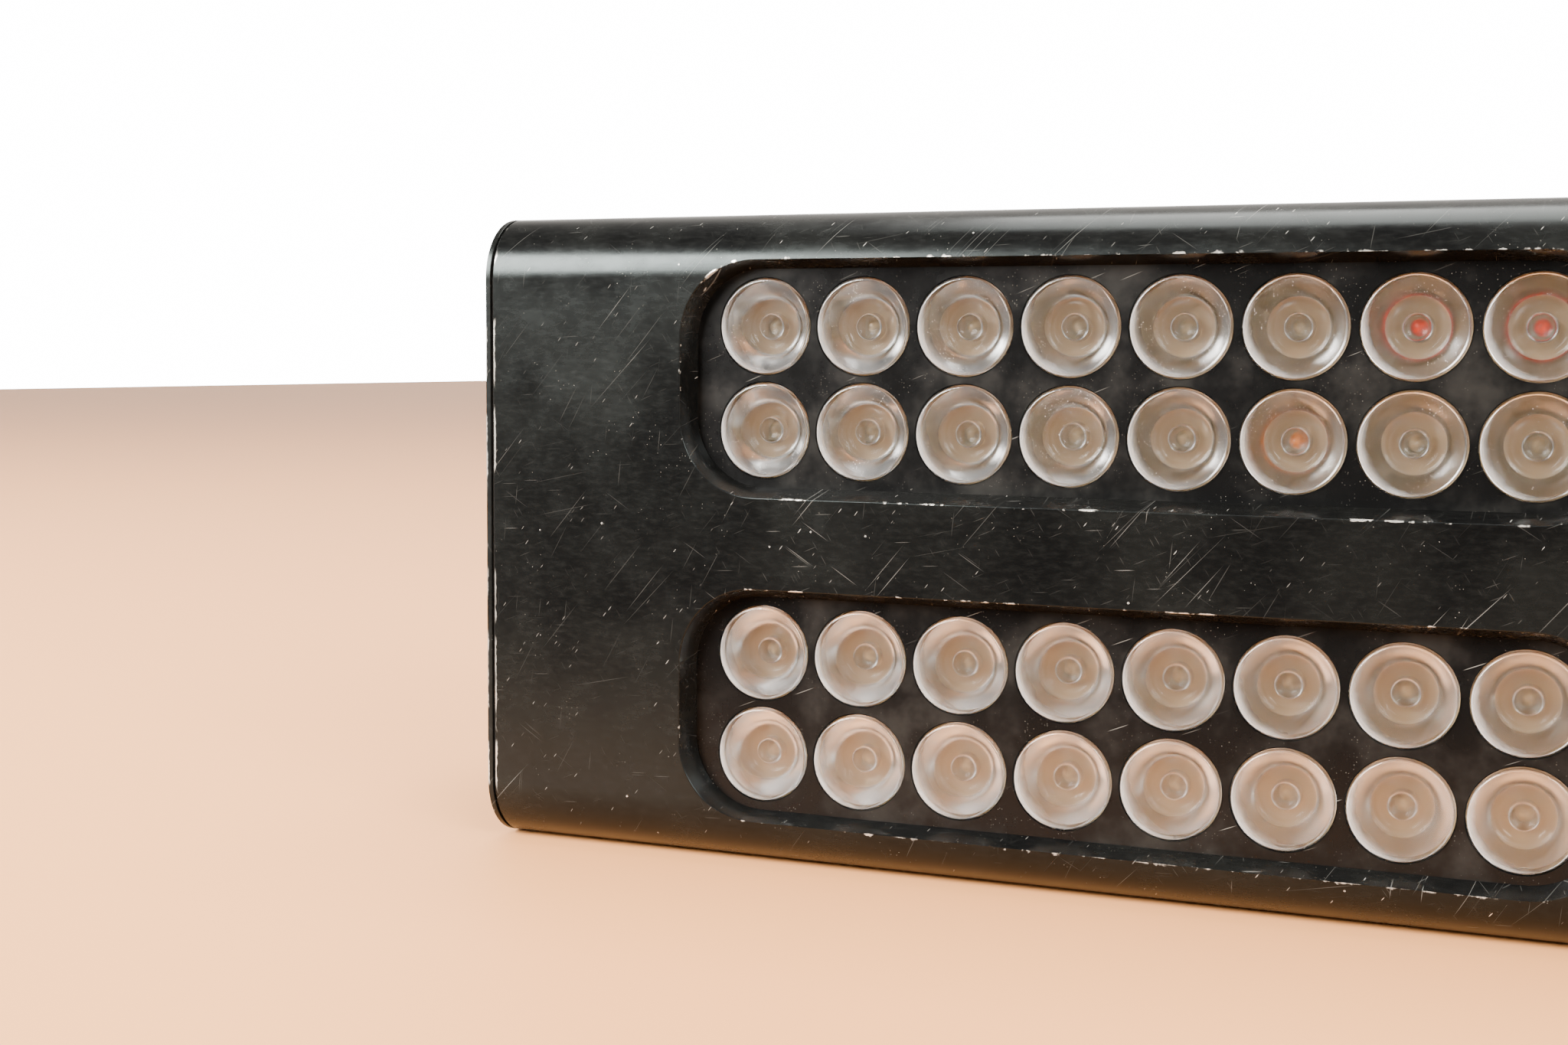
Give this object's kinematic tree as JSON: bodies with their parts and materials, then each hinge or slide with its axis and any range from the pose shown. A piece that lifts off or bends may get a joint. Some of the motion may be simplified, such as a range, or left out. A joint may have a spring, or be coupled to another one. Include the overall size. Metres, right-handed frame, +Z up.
{
  "type": "LED wash luminaire",
  "caption": "Compact black LED wash light: extruded box body with two round-ended lens windows, end plates, tilt yoke with knobs and a rear connector panel.",
  "frame": {"origin": "on the base face, straight under the tilt axis and midway between the ends", "axes": "+X along the body's length to its right end as seen from the front, +Z up; the lenses face -Y"},
  "size_m": [0.3626, 0.171, 0.1524],
  "materials": {
    "anodised_body": "black anodised, satin, scuffed",
    "powder_coat": "black powder coat on sheet",
    "coated_steel": "black powder coat on steel",
    "rubber": "moulded, dull",
    "lens_plate": "black, satin, dusty",
    "lens_clear": "clear moulded acrylic, slightly hazed",
    "led_board": "white solder mask on aluminium core",
    "circuit_board": "green solder mask",
    "thermal_pad": "soft grey silicone",
    "bare_metal": "mill finish",
    "plated_metal": "nickel plated",
    "black_screw": "black oxide",
    "moulded_black": "moulded, semi-gloss",
    "button_grey": "moulded, matt",
    "knob_black": "glass-filled nylon, matt",
    "fibre": "vulcanised fibre",
    "display_glazing": "clear, polished",
    "lead_white": "extruded sleeve"
  },
  "bodies": {
    "housing": {"component_tray": "bare_metal", "control_board": "circuit_board", "data_inlet": "moulded_black", "data_outlet": "moulded_black", "display_window": "display_glazing", "driver_board": "circuit_board", "earth_stud": "plated_metal", "fuse_holder": "moulded_black", "heat_sink": "bare_metal", "housing_extrusion": "anodised_body", "led_board_lower": "led_board", "led_board_upper": "led_board", "led_lead_lower": "lead_white", "led_lead_upper": "lead_white", "left_end_plate": "anodised_body", "left_end_screw_1": "black_screw", "left_end_screw_2": "black_screw", "left_end_screw_3": "black_screw", "left_end_screw_4": "black_screw", "left_friction_washer": "fibre", "left_gasket": "rubber", "left_pivot_insert": "plated_metal", "lens_plate_lower": "lens_plate", "lens_plate_upper": "lens_plate", "lens_strip_lower_bottom": "lens_clear", "lens_strip_lower_top": "lens_clear", "lens_strip_upper_bottom": "lens_clear", "lens_strip_upper_top": "lens_clear", "power_inlet": "moulded_black", "power_outlet": "moulded_black", "power_supply": "bare_metal", "rear_panel": "powder_coat", "rear_panel_screw_1": "black_screw", "rear_panel_screw_2": "black_screw", "rear_panel_screw_3": "black_screw", "rear_panel_screw_4": "black_screw", "rear_panel_screw_5": "black_screw", "rear_panel_screw_6": "black_screw", "right_end_plate": "anodised_body", "right_end_screw_1": "black_screw", "right_end_screw_2": "black_screw", "right_end_screw_3": "black_screw", "right_end_screw_4": "black_screw", "right_friction_washer": "fibre", "right_gasket": "rubber", "right_pivot_insert": "plated_metal", "safety_eye": "coated_steel", "thermal_pad_lower": "thermal_pad", "thermal_pad_upper": "thermal_pad"},
    "yoke": {"yoke": "coated_steel"},
    "left_tilt_knob": {"left_tilt_knob": "knob_black"},
    "right_tilt_knob": {"right_tilt_knob": "knob_black"},
    "fuse_cap": {"fuse_cap": "moulded_black"},
    "data_latch": {"data_latch": "plated_metal"},
    "button_mode": {"button_mode": "button_grey"},
    "button_down": {"button_down": "button_grey"},
    "button_up": {"button_up": "button_grey"},
    "button_enter": {"button_enter": "button_grey"}
  },
  "joints": [
    {"name": "yoke_tilt", "type": "hinge", "parent": "housing", "child": "yoke", "pos_m": [0, 0, 0.0762], "axis": [1, 0, 0], "continuous": true},
    {"name": "left_knob_turn", "type": "hinge", "parent": "housing", "child": "left_tilt_knob", "pos_m": [-0.16025, 0, 0.0762], "axis": [-1, 0, 0], "range_deg": [0, 180]},
    {"name": "right_knob_turn", "type": "hinge", "parent": "housing", "child": "right_tilt_knob", "pos_m": [0.16025, 0, 0.0762], "axis": [1, 0, 0], "range_deg": [0, 180]},
    {"name": "fuse_cap_turn", "type": "hinge", "parent": "housing", "child": "fuse_cap", "pos_m": [-0.0555, 0.0461, 0.0265], "axis": [0, 1, 0], "range_deg": [0, 90]},
    {"name": "data_latch_push", "type": "slide", "parent": "housing", "child": "data_latch", "axis": [0, -1, 0], "range_m": [0, 0.0015], "stiffness_N_per_m": 1500, "springref_m": -0.001},
    {"name": "button_mode_press", "type": "slide", "parent": "housing", "child": "button_mode", "axis": [0, -1, 0], "range_m": [0, 0.0008], "stiffness_N_per_m": 2500, "springref_m": -0.0004},
    {"name": "button_down_press", "type": "slide", "parent": "housing", "child": "button_down", "axis": [0, -1, 0], "range_m": [0, 0.0008], "stiffness_N_per_m": 2500, "springref_m": -0.0004},
    {"name": "button_up_press", "type": "slide", "parent": "housing", "child": "button_up", "axis": [0, -1, 0], "range_m": [0, 0.0008], "stiffness_N_per_m": 2500, "springref_m": -0.0004},
    {"name": "button_enter_press", "type": "slide", "parent": "housing", "child": "button_enter", "axis": [0, -1, 0], "range_m": [0, 0.0008], "stiffness_N_per_m": 2500, "springref_m": -0.0004}
  ]
}
